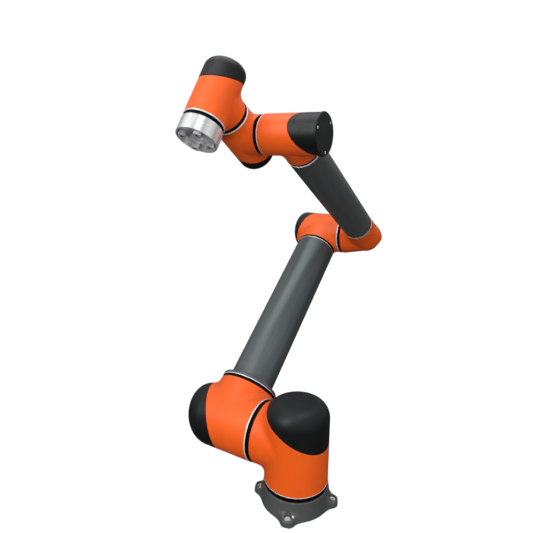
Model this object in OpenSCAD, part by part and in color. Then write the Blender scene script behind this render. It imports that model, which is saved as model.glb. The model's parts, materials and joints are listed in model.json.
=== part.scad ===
// Six-axis collaborative robot arm with offset joint modules.
// The origin is the centre of the base's mounting face, with +Z up.
// Every drive module is drawn in its own frame: its joint axis is Z, its output end
// faces +Z, its rear cover faces -Z and its side port points along +X.

/* [Arm] */
// Height of the shoulder axis above the mounting face
shoulder_h = 132.5; // [124:0.5:140]
// Distance from the base axis to the upper arm's plane
shoulder_offset = 159; // [157:1:175]
// Length of the upper arm between the shoulder and elbow axes
upper_arm_len = 583; // [400:1:700]
// Distance from the upper arm's plane to the forearm's plane
elbow_offset = 124; // [124:1:150]
// Length of the forearm between the elbow and first wrist axes
forearm_len = 509; // [350:1:650]
// Distance from the forearm's plane to the second wrist axis
wrist_offset = 107; // [107:1:125]
// Distance between the first and third wrist axes
wrist_len = 108; // [107:1:125]
// Distance from the second wrist axis to the tool face
tool_reach = 91; // [87:0.5:110]

/* [Pose] */
// Base joint's angle at rest
turn_1 = -150.5; // [-175:0.5:175]
// Shoulder joint's angle at rest, from an upright upper arm
turn_2 = 53; // [-90:0.5:90]
// Elbow joint's angle at rest, from a straight arm
turn_3 = -112; // [-150:0.5:150]
// First wrist joint's angle at rest
turn_4 = 3.5; // [-90:0.5:90]
// Second wrist joint's angle at rest
turn_5 = 87.5; // [-170:0.5:170]
// Third wrist joint's angle at rest
turn_6 = 0; // [-170:0.5:170]

/* [Modules] */
// Radius of the base and shoulder modules
big_r = 67; // [60:0.5:70]
// Radius of the elbow module
elbow_r = 52; // [46:0.5:54]
// Radius of the three wrist modules
wrist_r = 38; // [35:0.5:40]
// Wall thickness of the castings
wall = 4.5; // [3:0.5:6]
// Wall thickness of the rear covers
cover_wall = 3; // [2:0.5:4]
// Radius of the upper arm tube
upper_tube_r = 51; // [44:0.5:51]
// Radius of the forearm tube
forearm_tube_r = 37.5; // [32:0.5:37.5]
// Wall thickness of both arm tubes
tube_wall = 4; // [3:0.5:6]

/* [Base flange] */
// Distance between neighbouring mounting bolts
bolt_spacing = 110; // [106:1:120]
// Radius of each bolt ear
ear_r = 16; // [14:0.5:18]
// Thickness of the bolt ears
ear_h = 14; // [12:1:16]
// Radius of the flange's foot between the ears
foot_r = 74; // [72:0.5:78]
// Shank radius of the mounting bolts
bolt_r = 4; // [3:0.5:5]
// Length of bolt that stands below the mounting face
bolt_out = 18; // [10:1:30]

/* [Tool flange] */
// Radius of the tool flange
tool_r = 38; // [37:0.5:38]
// Pitch circle diameter of the tool's threaded holes
tool_pcd = 50; // [50:1:56]
// Radius of the tool's threaded holes
tool_hole_r = 3; // [2.5:0.5:3.5]
// Radius of the tool's locating recess
tool_recess_r = 15.75; // [12:0.25:16]
// Radius of the tool's dowel hole
tool_dowel_r = 2; // [1.5:0.5:2.5]

/* [Hidden] */

$fn = 96;

// Colours
casting_orange = [0.86, 0.33, 0.12];
cover_black = [0.08, 0.08, 0.09];
tube_grey = [0.36, 0.39, 0.41];
dark_grey = [0.26, 0.27, 0.27];
seal_black = [0.03, 0.03, 0.03];
aluminium = [0.80, 0.80, 0.82];
steel = [0.62, 0.63, 0.65];
copper = [0.72, 0.42, 0.22];
board_green = [0.08, 0.30, 0.16];

// Seal and trim rings between two links
running_gap = 0.3;
trim_h = 2;
big_ring_h = 9.5;
elbow_ring_h = 8;
wrist_ring_h = 7;
// Rings at the ends of the arm tubes
collar_ring_h = 7;
upper_tube_ring_h = 6;
forearm_tube_ring_h = 5;
ring_inset = 0.8;

// Output faces, measured from each module's centre to the outer edge of its trim ring
base_out = shoulder_h - 51.5;
shoulder_out = shoulder_offset - 85;
elbow_out = elbow_offset / 2;
wrist_1_out = wrist_offset - 52;
wrist_2_out = wrist_len - 53;
wrist_3_out = tool_reach - 39;

// Side ports: radius a little under the module's own, and the distance to the port's face
port_inset = 1;
shoulder_port = shoulder_offset - shoulder_out - big_ring_h;
upper_arm_port = 75;
elbow_drive_port = 58;
elbow_side_port = elbow_offset - elbow_out - elbow_ring_h;
elbow_port = 75;
wrist_1_port = 48;
wrist_2_port = wrist_offset - wrist_1_out - wrist_ring_h;
wrist_3_port = wrist_len - wrist_2_out - wrist_ring_h;
tool_face_start = wrist_3_out + wrist_ring_h;

// Rear covers: length from the module's centre, edge radius, and the slanted seam's
// height on the axis and slope towards the port
base_cap_l = 96;
base_cap_edge = 38;
base_seam = [46, 0.58];
shoulder_cap_l = 104;
shoulder_cap_edge = 38;
shoulder_seam = [42, 0.48];
elbow_cap_l = 75;
elbow_cap_edge = 24;
elbow_seam = [41, 0.40];
wrist_1_cap_l = 65;
wrist_1_cap_edge = 2;
wrist_1_seam = [42, 0.93];
wrist_2_cap_l = 78;
wrist_2_cap_edge = 20;
wrist_2_seam = [38, 0.45];
wrist_3_cap_l = 70;
wrist_3_cap_edge = 18;
wrist_3_seam = [34, 0.47];
end_plate_h = 4;
end_plate_lip = 0.8;
end_screw_r = 1.6;
end_screw_ring_r = 31.5;

// Collar and arm tubes
collar_start = upper_arm_port + collar_ring_h;
collar_h = 14;
collar_rim_h = 6;
tube_start = collar_start + trim_h;
tube_end = upper_arm_len - elbow_drive_port - upper_tube_ring_h - trim_h;
forearm_start = elbow_port + forearm_tube_ring_h + trim_h;
forearm_end = forearm_len - wrist_1_port - forearm_tube_ring_h - trim_h;

// Base flange
flange_h = shoulder_h - base_out - big_ring_h;
hub_r = big_r + 1.5;
foot_h = 9;
bolt_hole_r = bolt_r + 0.5;
bolt_shank_r = bolt_r - 0.5;
bolt_head_r = bolt_r + 2.5;
bolt_head_h = 2 * bolt_r;
bolt_seat = 5;
pocket_r = bolt_head_r + 1;
hex_r = 0.85 * bolt_r;
hex_depth = bolt_r;
dowel_r = 2.5;
dowel_place = [105, 11];
cable_r = 30;
hub_wall = 8;

// Tool flange
lug_h = 10;
lug_w = 13;
lug_inner_r = 18.5;
lug_outer_r = 31.5;
lug_turn = 51;
lug_proud = 4;
rim_w = 3;
tool_hole_depth = 14;
recess_depth = 6;
tool_dowel_place = [-87, 20.5];

// A length larger than any part
big = 400;

// Radii and lengths inside a drive module, as shares of the module's radius
lip_r = 0.84;
output_r = 0.80;
cup_r = 0.62;
cup_wall = 0.06;
gear_r = 0.65;
stator_r = 0.50;
magnet_r = 0.47;
shaft_r = 0.22;
shaft_bore_r = 0.15;
wave_r = 0.53;
lip_h = 0.12;
disc_depth = 0.14;
cup_depth = 0.40;
gear_top = 0.18;
gear_bottom = 0.42;
wave_top = 0.20;
wave_bottom = 0.38;
motor_top = 0.55;
motor_bottom = 0.95;
shaft_top = 0.18;
shaft_bottom = 1.20;
board_depth = 1.28;
board_r = 0.74;
board_h = 1.6;
chip_h = 3;
fit_gap = 0.1;

// Frames: each link's frame has X along the shoulder, elbow and first wrist axes
module in_shoulder() rotate([0, 0, turn_1]) translate([0, 0, shoulder_h]) children();
module in_upper_arm()
    in_shoulder() translate([shoulder_offset, 0, 0]) rotate([turn_2, 0, 0]) children();
module in_forearm()
    in_upper_arm() translate([-elbow_offset, 0, upper_arm_len]) rotate([turn_3, 0, 0]) children();
module in_wrist_2()
    in_forearm()
        translate([0, 0, forearm_len]) rotate([turn_4, 0, 0]) translate([wrist_offset, 0, 0]) children();
module in_wrist_3() in_wrist_2() translate([0, 0, wrist_len]) rotate([0, 0, turn_5]) children();

// Frames of the six drive modules
module at_base_drive() in_shoulder() rotate([180, 0, 0]) children();
module at_shoulder_drive() in_upper_arm() rotate([0, -90, 0]) children();
module at_elbow_drive()
    in_upper_arm() translate([0, 0, upper_arm_len]) rotate([0, -90, 0]) rotate([0, 0, 180]) children();
module at_wrist_1_drive() in_forearm() translate([0, 0, forearm_len]) rotate([0, 90, 0]) children();
module at_wrist_2_drive() in_wrist_2() rotate([0, 0, 180]) children();
module at_wrist_3_drive() in_wrist_3() rotate([0, 90, 0]) children();
module at_tool() at_wrist_3_drive() rotate([0, 0, turn_6]) children();

module ring(r_out, r_in, z_low, z_high)
    translate([0, 0, z_low])
        difference() {
            cylinder(r = r_out, h = z_high - z_low);
            translate([0, 0, -1]) cylinder(r = r_in, h = z_high - z_low + 2);
        }

// Round body of a module: a cylinder that ends in a domed or chamfered rear end
module envelope(r, cap_l, edge, top)
    rotate_extrude()
        intersection() {
            union() {
                translate([0, edge - cap_l]) square([r, cap_l - edge + top]);
                translate([0, -cap_l]) square([r - edge, edge + 1]);
                translate([r - edge, edge - cap_l]) circle(r = edge);
            }
            translate([0, -cap_l]) square([r, cap_l + top]);
        }

// Everything behind the slanted seam between a housing and its rear cover
module behind_seam(seam)
    translate([0, 0, -seam[0]])
        rotate([0, atan(seam[1]), 0])
            translate([-big / 2, -big / 2, -big])
                cube([big, big, big]);

// Cast housing: round body, side port with a web at its face, and the drive's bore
module housing(r, cap_l, edge, seam, out, port_r, port_l, plate = 0)
    color(casting_orange)
        difference() {
            union() {
                difference() {
                    envelope(r, cap_l, edge, out - trim_h);
                    behind_seam(seam);
                    translate([0, 0, -cap_l - 1]) cylinder(r = r + 1, h = plate + 1);
                }
                rotate([0, 90, 0]) cylinder(r = port_r, h = port_l);
            }
            envelope(r - wall, cap_l - wall, max(edge - wall, 1), out - lip_h * r);
            cylinder(r = lip_r * r, h = out);
            rotate([0, 90, 0]) cylinder(r = port_r - wall, h = port_l - wall);
            rotate([0, 90, 0]) cylinder(r = port_r / 3, h = port_l + 1);
        }

// Rear cover: the shell behind the seam
module cap(r, cap_l, edge, seam)
    color(cover_black)
        difference() {
            intersection() {
                envelope(r, cap_l, edge, 0);
                behind_seam(seam);
            }
            envelope(r - cover_wall, cap_l - cover_wall, max(edge - cover_wall, 1), 1);
        }

module trim_ring(r, out) color(aluminium) ring(r + 0.2, lip_r * r, out - trim_h, out);

module seal_ring(r, out, h) color(seal_black) ring(r - ring_inset, lip_r * r, out + running_gap, out + h);

module stator(r, out)
    color(copper) ring(r - wall - fit_gap, stator_r * r, out - motor_bottom * r, out - motor_top * r);

module gear_ring(r, out)
    color(steel) ring(r - wall - fit_gap, gear_r * r, out - gear_bottom * r, out - gear_top * r);

module driver_board(r, out)
    color(board_green) {
        ring(board_r * r, shaft_r * r + 1, out - board_depth * r - board_h, out - board_depth * r);
        for (turn = [0:72:288])
            rotate([0, 0, turn])
                translate([0.45 * r, 0, out - board_depth * r - board_h - chip_h / 2])
                    cube([0.2 * r, 0.16 * r, chip_h], center = true);
    }

// Output flange with its flexible cup; it is bolted to the port of the next link
module output_flange(r, out, ring_h)
    color(steel) {
        ring(output_r * r, shaft_r * r + 1, out - disc_depth * r, out + ring_h);
        ring(cup_r * r, (cup_r - cup_wall) * r, out - cup_depth * r, out - disc_depth * r);
    }

// Motor rotor: hollow shaft with the magnet ring and the wave generator
module rotor(r, out)
    color(steel) {
        ring(shaft_r * r, shaft_bore_r * r, out - shaft_bottom * r, out - shaft_top * r);
        ring(magnet_r * r, shaft_r * r, out - motor_bottom * r, out - motor_top * r);
        ring(wave_r * r, shaft_r * r, out - wave_bottom * r, out - wave_top * r);
    }

// Ring of screws' places around an axis
module around(count, r, start = 0)
    for (i = [0:count - 1])
        rotate([0, 0, start + i * 360 / count]) translate([r, 0, 0]) children();

module at_bolts()
    for (x = [-1, 1], y = [-1, 1])
        translate([x * bolt_spacing / 2, y * bolt_spacing / 2, 0]) rotate([0, 0, atan2(y, x)]) children();

// --- base -------------------------------------------------------------------
module base_flange()
    color(dark_grey)
        difference() {
            union() {
                cylinder(r = foot_r, h = foot_h);
                translate([0, 0, foot_h]) cylinder(r1 = foot_r, r2 = hub_r, h = flange_h - foot_h);
                at_bolts() {
                    cylinder(r = ear_r, h = ear_h);
                    translate([-ear_r, -ear_r, 0]) cube([ear_r, 2 * ear_r, ear_h]);
                }
            }
            translate([0, 0, bolt_seat]) at_bolts() cylinder(r = pocket_r, h = flange_h);
            translate([0, 0, -1])
                at_bolts() {
                    cylinder(r = bolt_hole_r, h = ear_h + 2);
                    rotate([0, 0, dowel_place[0]])
                        translate([dowel_place[1], 0, 0])
                            cylinder(r = dowel_r, h = ear_h + 2);
                }
            translate([0, 0, -1]) cylinder(r = cable_r, h = flange_h + 2);
            translate([0, 0, -1]) cylinder(r = hub_r - hub_wall, h = flange_h - hub_wall + 1);
        }

// Captive screws: the shank inside the flange is thinner than the thread below it
module base_bolts()
    color(steel)
        at_bolts()
            difference() {
                union() {
                    translate([0, 0, -bolt_out]) cylinder(r = bolt_r, h = bolt_out);
                    translate([0, 0, -1]) cylinder(r = bolt_shank_r, h = bolt_seat + 2);
                    translate([0, 0, bolt_seat]) cylinder(r = bolt_head_r, h = bolt_head_h);
                }
                translate([0, 0, bolt_seat + bolt_head_h - hex_depth])
                    cylinder(r = hex_r, h = hex_depth + 1, $fn = 6);
            }

module base_seal_ring() at_base_drive() seal_ring(big_r + ring_inset, base_out, big_ring_h);

module base_output_flange() at_base_drive() output_flange(big_r, base_out, big_ring_h);

// --- shoulder ---------------------------------------------------------------
module shoulder_housing()
    at_base_drive()
        housing(big_r, base_cap_l, base_cap_edge, base_seam, base_out, big_r - port_inset, shoulder_port);

module shoulder_cap() at_base_drive() cap(big_r, base_cap_l, base_cap_edge, base_seam);

module shoulder_trim_ring() at_base_drive() trim_ring(big_r, base_out);

module shoulder_seal_ring() at_shoulder_drive() seal_ring(big_r, shoulder_out, big_ring_h);

module shoulder_stator() at_base_drive() stator(big_r, base_out);

module shoulder_gear_ring() at_base_drive() gear_ring(big_r, base_out);

module shoulder_driver_board() at_base_drive() driver_board(big_r, base_out);

module shoulder_output_flange() at_shoulder_drive() output_flange(big_r, shoulder_out, big_ring_h);

module base_rotor() at_base_drive() rotor(big_r, base_out);

// --- upper arm --------------------------------------------------------------
module upper_arm_housing()
    at_shoulder_drive() {
        housing(big_r, shoulder_cap_l, shoulder_cap_edge, shoulder_seam, shoulder_out,
            big_r - port_inset, upper_arm_port);
    }

module upper_arm_cap() at_shoulder_drive() cap(big_r, shoulder_cap_l, shoulder_cap_edge, shoulder_seam);

module upper_arm_collar()
    color(tube_grey)
        in_upper_arm()
            translate([0, 0, collar_start + trim_h])
                difference() {
                    union() {
                        cylinder(r = big_r - port_inset, h = collar_rim_h);
                        translate([0, 0, collar_rim_h])
                            cylinder(r1 = big_r - 5, r2 = upper_tube_r + 1.5, h = collar_h - collar_rim_h);
                    }
                    translate([0, 0, -1]) cylinder(r = upper_tube_r, h = collar_h + 2);
                }

module upper_arm_tube()
    color(tube_grey) in_upper_arm() ring(upper_tube_r, upper_tube_r - tube_wall, tube_start, tube_end);

module elbow_drive_housing()
    at_elbow_drive()
        housing(elbow_r, elbow_cap_l, elbow_cap_edge, elbow_seam, elbow_out,
            elbow_r - port_inset, elbow_drive_port);

module elbow_drive_cap() at_elbow_drive() cap(elbow_r, elbow_cap_l, elbow_cap_edge, elbow_seam);

module upper_arm_seal_rings()
    color(seal_black)
        in_upper_arm() {
            ring(big_r - ring_inset - port_inset, upper_tube_r, upper_arm_port, collar_start);
            ring(upper_tube_r - ring_inset, upper_tube_r - tube_wall, tube_end + trim_h,
                tube_end + trim_h + upper_tube_ring_h);
        }

module upper_arm_trim_rings() {
    at_shoulder_drive() trim_ring(big_r, shoulder_out);
    at_elbow_drive() trim_ring(elbow_r, elbow_out);
    color(aluminium)
        in_upper_arm() {
            ring(big_r, upper_tube_r, collar_start, collar_start + trim_h);
            ring(upper_tube_r + 0.2, upper_tube_r - tube_wall, tube_end, tube_end + trim_h);
        }
}

module upper_arm_stators() {
    at_shoulder_drive() stator(big_r, shoulder_out);
    at_elbow_drive() stator(elbow_r, elbow_out);
}

module upper_arm_gear_rings() {
    at_shoulder_drive() gear_ring(big_r, shoulder_out);
    at_elbow_drive() gear_ring(elbow_r, elbow_out);
}

module upper_arm_driver_boards() {
    at_shoulder_drive() driver_board(big_r, shoulder_out);
    at_elbow_drive() driver_board(elbow_r, elbow_out);
}

module shoulder_rotor() at_shoulder_drive() rotor(big_r, shoulder_out);

module elbow_rotor() at_elbow_drive() rotor(elbow_r, elbow_out);

// --- forearm ----------------------------------------------------------------
elbow_ball_r = elbow_r - 11.5;
elbow_neck_r = forearm_tube_r + 2;

module elbow_solid(shrink)
    union() {
        rotate([0, 90, 0])
            rotate_extrude()
                intersection() {
                    union() {
                        circle(r = elbow_ball_r - shrink);
                        polygon([[0, 0], [elbow_ball_r - shrink, 0],
                            [elbow_r - shrink, elbow_side_port - shrink], [0, elbow_side_port - shrink]]);
                    }
                    translate([0, -big / 2]) square([big / 2, big]);
                }
        cylinder(r1 = elbow_neck_r - shrink, r2 = forearm_tube_r + 0.5 - shrink, h = elbow_port - shrink);
    }

module elbow_housing()
    color(casting_orange)
        in_forearm()
            difference() {
                elbow_solid(0);
                elbow_solid(wall);
                rotate([0, 90, 0]) cylinder(r = elbow_r / 3, h = elbow_side_port + 1);
                cylinder(r = forearm_tube_r / 2, h = elbow_port + 1);
            }

module forearm_tube()
    color(dark_grey)
        in_forearm() ring(forearm_tube_r, forearm_tube_r - tube_wall, forearm_start, forearm_end);

module wrist_1_housing()
    at_wrist_1_drive()
        housing(wrist_r, wrist_1_cap_l, wrist_1_cap_edge, wrist_1_seam, wrist_1_out,
            wrist_r - port_inset, wrist_1_port, end_plate_h);

module at_end_screws() around(3, end_screw_ring_r, 50) children();

// The first wrist module's cover ends in a flat plate with screws near its rim
module wrist_1_cap()
    at_wrist_1_drive() {
        difference() {
            cap(wrist_r, wrist_1_cap_l, wrist_1_cap_edge, wrist_1_seam);
            translate([0, 0, -wrist_1_cap_l - 1]) cylinder(r = wrist_r + 1, h = end_plate_h + 1);
        }
        color(cover_black)
            difference() {
                translate([0, 0, -wrist_1_cap_l]) {
                    cylinder(r1 = wrist_r - 1.5, r2 = wrist_r + end_plate_lip, h = end_plate_h / 2);
                    translate([0, 0, end_plate_h / 2])
                        cylinder(r = wrist_r + end_plate_lip, h = end_plate_h / 2);
                }
                translate([0, 0, -wrist_1_cap_l - 1])
                    at_end_screws() cylinder(r = end_screw_r, h = end_plate_h + 2);
            }
    }

module wrist_1_cap_screws()
    color(steel)
        at_wrist_1_drive()
            translate([0, 0, -wrist_1_cap_l])
                at_end_screws()
                    difference() {
                        translate([0, 0, 0.2]) cylinder(r = end_screw_r, h = end_plate_h - 0.4);
                        translate([0, 0, -1]) cylinder(r = end_screw_r / 2, h = 3, $fn = 6);
                    }

module forearm_seal_rings() {
    at_elbow_drive() seal_ring(elbow_r, elbow_out, elbow_ring_h);
    color(seal_black)
        in_forearm() {
            ring(forearm_tube_r, forearm_tube_r - tube_wall, elbow_port,
                elbow_port + forearm_tube_ring_h);
            ring(forearm_tube_r, forearm_tube_r - tube_wall, forearm_end + trim_h,
                forearm_end + trim_h + forearm_tube_ring_h);
        }
}

module forearm_trim_rings() {
    at_wrist_1_drive() trim_ring(wrist_r, wrist_1_out);
    color(aluminium)
        in_forearm() {
            ring(forearm_tube_r + 0.2, forearm_tube_r - tube_wall, forearm_start - trim_h, forearm_start);
            ring(forearm_tube_r + 0.2, forearm_tube_r - tube_wall, forearm_end, forearm_end + trim_h);
        }
}

module forearm_output_flange() at_elbow_drive() output_flange(elbow_r, elbow_out, elbow_ring_h);

module wrist_1_stator() at_wrist_1_drive() stator(wrist_r, wrist_1_out);

module wrist_1_gear_ring() at_wrist_1_drive() gear_ring(wrist_r, wrist_1_out);

module wrist_1_driver_board() at_wrist_1_drive() driver_board(wrist_r, wrist_1_out);

module wrist_1_rotor() at_wrist_1_drive() rotor(wrist_r, wrist_1_out);

// --- second wrist module ----------------------------------------------------
module wrist_2_housing()
    at_wrist_2_drive()
        housing(wrist_r, wrist_2_cap_l, wrist_2_cap_edge, wrist_2_seam, wrist_2_out,
            wrist_r - port_inset, wrist_2_port);

module wrist_2_cap() at_wrist_2_drive() cap(wrist_r, wrist_2_cap_l, wrist_2_cap_edge, wrist_2_seam);

module wrist_2_trim_ring() at_wrist_2_drive() trim_ring(wrist_r, wrist_2_out);

module wrist_2_seal_ring() at_wrist_1_drive() seal_ring(wrist_r, wrist_1_out, wrist_ring_h);

module wrist_2_output_flange() at_wrist_1_drive() output_flange(wrist_r, wrist_1_out, wrist_ring_h);

module wrist_2_stator() at_wrist_2_drive() stator(wrist_r, wrist_2_out);

module wrist_2_gear_ring() at_wrist_2_drive() gear_ring(wrist_r, wrist_2_out);

module wrist_2_driver_board() at_wrist_2_drive() driver_board(wrist_r, wrist_2_out);

module wrist_2_rotor() at_wrist_2_drive() rotor(wrist_r, wrist_2_out);

// --- third wrist module -----------------------------------------------------
module wrist_3_housing()
    at_wrist_3_drive()
        housing(wrist_r, wrist_3_cap_l, wrist_3_cap_edge, wrist_3_seam, wrist_3_out,
            wrist_r - port_inset, wrist_3_port);

module wrist_3_cap() at_wrist_3_drive() cap(wrist_r, wrist_3_cap_l, wrist_3_cap_edge, wrist_3_seam);

module wrist_3_trim_ring() at_wrist_3_drive() trim_ring(wrist_r, wrist_3_out);

module wrist_3_seal_ring() at_wrist_2_drive() seal_ring(wrist_r, wrist_2_out, wrist_ring_h);

module wrist_3_output_flange() at_wrist_2_drive() output_flange(wrist_r, wrist_2_out, wrist_ring_h);

module wrist_3_stator() at_wrist_3_drive() stator(wrist_r, wrist_3_out);

module wrist_3_gear_ring() at_wrist_3_drive() gear_ring(wrist_r, wrist_3_out);

module wrist_3_driver_board() at_wrist_3_drive() driver_board(wrist_r, wrist_3_out);

module wrist_3_rotor() at_wrist_3_drive() rotor(wrist_r, wrist_3_out);

// --- tool end ---------------------------------------------------------------
// A cup with four lugs that rise from its floor and stand proud of its rim
module tool_flange()
    color(aluminium)
        at_tool() {
            floor_z = tool_reach - lug_h;
            difference() {
                union() {
                    difference() {
                        translate([0, 0, tool_face_start])
                            cylinder(r = tool_r, h = tool_reach - lug_proud - tool_face_start);
                        translate([0, 0, floor_z]) cylinder(r = tool_r - rim_w, h = lug_h);
                    }
                    around(4, lug_inner_r, lug_turn)
                        translate([0, -lug_w / 2, floor_z - 1])
                            cube([lug_outer_r - lug_inner_r, lug_w, lug_h + 1]);
                }
                translate([0, 0, tool_reach - tool_hole_depth])
                    around(4, tool_pcd / 2, lug_turn) cylinder(r = tool_hole_r, h = tool_hole_depth + 1);
                translate([0, 0, floor_z - recess_depth]) {
                    cylinder(r = tool_recess_r, h = big);
                    around(1, tool_dowel_place[1], tool_dowel_place[0]) cylinder(r = tool_dowel_r, h = big);
                }
                translate([0, 0, tool_face_start - 1]) cylinder(r = shaft_r * wrist_r, h = big);
            }
        }

module tool_seal_ring() at_tool() seal_ring(wrist_r, wrist_3_out, wrist_ring_h);

module tool_output_flange() at_tool() output_flange(wrist_r, wrist_3_out, wrist_ring_h);

base_flange();
base_bolts();
base_seal_ring();
base_output_flange();
shoulder_housing();
shoulder_cap();
shoulder_trim_ring();
shoulder_seal_ring();
shoulder_stator();
shoulder_gear_ring();
shoulder_driver_board();
shoulder_output_flange();
upper_arm_housing();
upper_arm_cap();
upper_arm_collar();
upper_arm_tube();
elbow_drive_housing();
elbow_drive_cap();
upper_arm_seal_rings();
upper_arm_trim_rings();
upper_arm_stators();
upper_arm_gear_rings();
upper_arm_driver_boards();
elbow_housing();
forearm_tube();
wrist_1_housing();
wrist_1_cap();
wrist_1_cap_screws();
forearm_seal_rings();
forearm_trim_rings();
forearm_output_flange();
wrist_1_stator();
wrist_1_gear_ring();
wrist_1_driver_board();
wrist_2_housing();
wrist_2_cap();
wrist_2_trim_ring();
wrist_2_seal_ring();
wrist_2_output_flange();
wrist_2_stator();
wrist_2_gear_ring();
wrist_2_driver_board();
wrist_3_housing();
wrist_3_cap();
wrist_3_trim_ring();
wrist_3_seal_ring();
wrist_3_output_flange();
wrist_3_stator();
wrist_3_gear_ring();
wrist_3_driver_board();
tool_flange();
tool_seal_ring();
tool_output_flange();
base_rotor();
shoulder_rotor();
elbow_rotor();
wrist_1_rotor();
wrist_2_rotor();
wrist_3_rotor();
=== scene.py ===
"""Looks of a six-axis collaborative robot arm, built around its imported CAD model."""
import itertools
import json
import math

import bmesh
import bpy
import numpy as np
from mathutils import Matrix, Vector


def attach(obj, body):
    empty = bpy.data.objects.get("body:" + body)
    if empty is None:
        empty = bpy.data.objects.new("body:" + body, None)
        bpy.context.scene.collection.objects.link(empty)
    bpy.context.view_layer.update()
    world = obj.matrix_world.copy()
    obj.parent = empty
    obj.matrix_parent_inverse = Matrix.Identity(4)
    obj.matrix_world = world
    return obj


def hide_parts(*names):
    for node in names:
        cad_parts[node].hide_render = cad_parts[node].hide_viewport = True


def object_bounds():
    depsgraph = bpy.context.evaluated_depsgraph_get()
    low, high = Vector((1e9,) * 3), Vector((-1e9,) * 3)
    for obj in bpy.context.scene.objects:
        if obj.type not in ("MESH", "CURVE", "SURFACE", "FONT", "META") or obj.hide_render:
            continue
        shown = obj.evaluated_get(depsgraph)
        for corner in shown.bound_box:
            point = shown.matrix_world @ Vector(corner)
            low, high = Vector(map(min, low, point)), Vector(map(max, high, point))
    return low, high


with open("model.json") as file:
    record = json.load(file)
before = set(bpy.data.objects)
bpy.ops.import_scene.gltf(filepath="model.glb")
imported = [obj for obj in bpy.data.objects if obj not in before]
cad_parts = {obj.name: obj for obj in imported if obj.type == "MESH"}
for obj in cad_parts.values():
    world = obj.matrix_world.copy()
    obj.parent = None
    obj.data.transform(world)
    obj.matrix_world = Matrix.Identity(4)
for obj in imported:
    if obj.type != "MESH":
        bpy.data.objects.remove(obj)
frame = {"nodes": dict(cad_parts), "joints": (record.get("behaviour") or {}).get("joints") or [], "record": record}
cad_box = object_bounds()

# ---------------------------------------------------------------- sizes, in metres
MM = 0.001

# Castings, covers and rings
TRIM_H = 2 * MM
BIG_RING_H = 9.5 * MM
ELBOW_RING_H = 8 * MM
WRIST_RING_H = 7 * MM
WALL = 4.5 * MM
COVER_WALL = 3 * MM
RUNNING_GAP = 0.3 * MM
SEAM_GAP = 0.5 * MM
EDGE = 0.8 * MM
LATHE_STEPS = 144
ON_AXIS = 0.001 * MM
PORT_INSET = 1 * MM
TRIM_PROUD = 0.2 * MM
TRIM_SHARE = 0.65
SEAL_INSET = 0.8 * MM
LIP_SHARE = 0.84
TUBE_WALL = 4 * MM
ELBOW_NECK = 2 * MM
COLLAR_RIM_H = 6 * MM
BIG_STEP = 2 * MM
ELBOW_STEP = 1.7 * MM
WRIST_STEP = 1.4 * MM
MARGIN_STEPS = 4

# End plate of the first wrist and its screws
END_PLATE_H = 4 * MM
END_SEAT_DEPTH = 1.9 * MM
END_SCREWS = 3
END_SCREW_R = 1.6 * MM
END_SCREW_RING = 31.5 * MM
END_SCREW_TURN = 50

# Base flange and its bolts
CUT_OVER = 5 * MM
BOLT_PITCH = 1.25 * MM
BOLT_PLACE = 55 * MM
BOLT_R = 4 * MM
BOLT_HEAD_R = 6.5 * MM
BOLT_HEAD_H = 8 * MM
BOLT_SEAT = 5 * MM
BOLT_OUT = 18 * MM
POCKET_R = 7.5 * MM
BOLT_HOLE_R = 4.5 * MM
HUB_TOP_R = 68.5 * MM
HUB_FOOT_R = 73 * MM
EAR_REACH = 88.5 * MM
EAR_HALF_W = 10.5 * MM
EAR_H = 14 * MM
EAR_CORNER = 7 * MM
BASE_BORE_R = 60.5 * MM
BASE_ROOF = 8 * MM
CABLE_R = 30 * MM
DOWEL_R = 2.5 * MM
DOWEL_REACH = 11 * MM
DOWEL_TURN = 105
DOWEL_PROUD = 5 * MM
EAR_BLEND = 26 * MM

# Tool flange
TOOL_RIM_W = 3 * MM
LUG_PROUD = 4 * MM
LUG_H = 10 * MM
LUG_W = 13 * MM
LUG_LOW_R = 18.5 * MM
LUG_HIGH_R = 31.5 * MM
LUG_TURN = 51
TOOL_HOLE_R = 3 * MM
TOOL_HOLE_RING = 25 * MM
TOOL_HOLE_DEPTH = 14 * MM
THREAD_R = 2.5 * MM
RECESS_R = 15.75 * MM
RECESS_DEPTH = 6 * MM
TOOL_BORE_R = 8.36 * MM
TOOL_DOWEL_R = 2 * MM
TOOL_DOWEL_RING = 20.5 * MM
TOOL_DOWEL_TURN = -87

# Camera
CAMERA_PLACE = (0.7067, -0.4760, 0.7337)
CAMERA_PAN = 150.2
CAMERA_TILT = 14.84
LENS = 31.93
SENSOR = 36

# Floor and lights
FLOOR_HALF = 20
FLOOR_TONE = 0.08
FLOOR_GLOW = 0.96
LIGHTS_BACK = 1.3


# ---------------------------------------------------------------- places from the CAD frame
joints = {joint["name"]: joint for joint in frame["joints"]}


def joint_place(name):
    return Vector(joints[name]["pos_m"])


def joint_axis(name):
    return Vector(joints[name]["axis"]).normalized()


def place_at(centre, z, x):
    """Matrix of a frame with its origin at centre, its Z along z and its X along x."""
    z = z.normalized()
    x = (x - z * x.dot(z)).normalized()
    y = z.cross(x)
    rotation = Matrix((x, y, z)).transposed()
    return Matrix.Translation(centre) @ rotation.to_4x4()


def local_box(node, place):
    """Lowest and highest corners of a CAD node in another frame."""
    mesh = frame["nodes"][node].data
    points = np.empty(len(mesh.vertices) * 3)
    mesh.vertices.foreach_get("co", points)
    matrix = np.array(place.inverted())
    points = points.reshape(-1, 3) @ matrix[:3, :3].T + matrix[:3, 3]
    return Vector(points.min(axis=0)), Vector(points.max(axis=0))


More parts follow.
